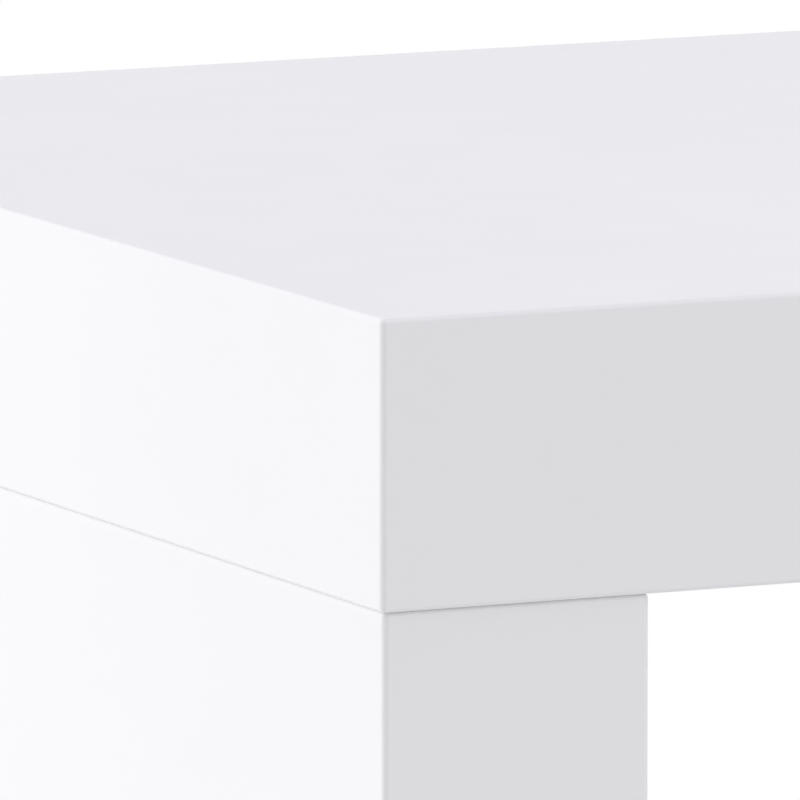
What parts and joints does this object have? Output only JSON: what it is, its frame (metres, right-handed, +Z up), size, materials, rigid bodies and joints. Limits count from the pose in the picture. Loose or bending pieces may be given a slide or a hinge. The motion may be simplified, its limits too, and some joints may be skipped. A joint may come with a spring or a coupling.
{
  "type": "bar table",
  "caption": "High bar table with a thick slab top on two full-depth slab legs at its ends, in white lacquer with eased edges, on low levelling feet.",
  "frame": {"origin": "on the floor, under the middle of the top", "axes": "+X along the table, +Y to its rear, +Z up"},
  "size_m": [1.2, 0.4, 1.05],
  "materials": {
    "white_lacquer": "white lacquer on MDF, satin gloss",
    "raw_mdf": "raw fibreboard",
    "pine": "planed softwood",
    "beech": "turned and fluted beech",
    "zinc": "die-cast zinc, bare",
    "steel": "zinc-plated steel",
    "cap_plastic": "moulded white plastic",
    "pad_plastic": "moulded grey plastic"
  },
  "bodies": {
    "table": {"top_upper_board": "white_lacquer", "top_lower_board": "white_lacquer", "top_front_edge": "white_lacquer", "top_rear_edge": "white_lacquer", "top_left_edge": "white_lacquer", "top_right_edge": "white_lacquer", "left_leg_outer_board": "white_lacquer", "left_leg_inner_board": "white_lacquer", "left_leg_front_edge": "white_lacquer", "left_leg_rear_edge": "white_lacquer", "left_leg_top_cap": "white_lacquer", "left_leg_base_cap": "white_lacquer", "right_leg_outer_board": "white_lacquer", "right_leg_inner_board": "white_lacquer", "right_leg_front_edge": "white_lacquer", "right_leg_rear_edge": "white_lacquer", "right_leg_top_cap": "white_lacquer", "right_leg_base_cap": "white_lacquer", "top_long_rib": "raw_mdf", "top_cross_ribs": "raw_mdf", "left_leg_upright_rib": "raw_mdf", "left_leg_cross_ribs": "raw_mdf", "right_leg_upright_rib": "raw_mdf", "right_leg_cross_ribs": "raw_mdf", "top_left_rail": "pine", "left_leg_head_block": "pine", "left_leg_foot_block": "pine", "top_right_rail": "pine", "right_leg_head_block": "pine", "right_leg_foot_block": "pine", "left_dowels": "beech", "left_cam_bolts": "steel", "left_cam_locks": "zinc", "left_cam_caps": "cap_plastic", "left_foot_sleeves": "steel", "right_dowels": "beech", "right_cam_bolts": "steel", "right_cam_locks": "zinc", "right_cam_caps": "cap_plastic", "right_foot_sleeves": "steel"},
    "front_left_pad": {"front_left_pad": "pad_plastic"},
    "front_left_stem": {"front_left_stem": "steel"},
    "rear_left_pad": {"rear_left_pad": "pad_plastic"},
    "rear_left_stem": {"rear_left_stem": "steel"},
    "front_right_pad": {"front_right_pad": "pad_plastic"},
    "front_right_stem": {"front_right_stem": "steel"},
    "rear_right_pad": {"rear_right_pad": "pad_plastic"},
    "rear_right_stem": {"rear_right_stem": "steel"}
  },
  "joints": [
    {"name": "front_left_level", "type": "slide", "parent": "table", "child": "front_left_pad", "axis": [0, 0, -1], "range_m": [0, 0.01]},
    {"name": "front_left_turn", "type": "hinge", "parent": "front_left_pad", "child": "front_left_stem", "pos_m": [-0.5692, -0.16, 0.006], "axis": [0, 0, -1], "range_deg": [0, 2880]},
    {"name": "rear_left_level", "type": "slide", "parent": "table", "child": "rear_left_pad", "axis": [0, 0, -1], "range_m": [0, 0.01]},
    {"name": "rear_left_turn", "type": "hinge", "parent": "rear_left_pad", "child": "rear_left_stem", "pos_m": [-0.5692, 0.16, 0.006], "axis": [0, 0, -1], "range_deg": [0, 2880]},
    {"name": "front_right_level", "type": "slide", "parent": "table", "child": "front_right_pad", "axis": [0, 0, -1], "range_m": [0, 0.01]},
    {"name": "front_right_turn", "type": "hinge", "parent": "front_right_pad", "child": "front_right_stem", "pos_m": [0.5692, -0.16, 0.006], "axis": [0, 0, -1], "range_deg": [0, 2880]},
    {"name": "rear_right_level", "type": "slide", "parent": "table", "child": "rear_right_pad", "axis": [0, 0, -1], "range_m": [0, 0.01]},
    {"name": "rear_right_turn", "type": "hinge", "parent": "rear_right_pad", "child": "rear_right_stem", "pos_m": [0.5692, 0.16, 0.006], "axis": [0, 0, -1], "range_deg": [0, 2880]}
  ],
  "couplings": [
    {"joint": "front_left_level", "follows": "front_left_turn", "m_per_rad": 0.00019894},
    {"joint": "rear_left_level", "follows": "rear_left_turn", "m_per_rad": 0.00019894},
    {"joint": "front_right_level", "follows": "front_right_turn", "m_per_rad": 0.00019894},
    {"joint": "rear_right_level", "follows": "rear_right_turn", "m_per_rad": 0.00019894}
  ]
}
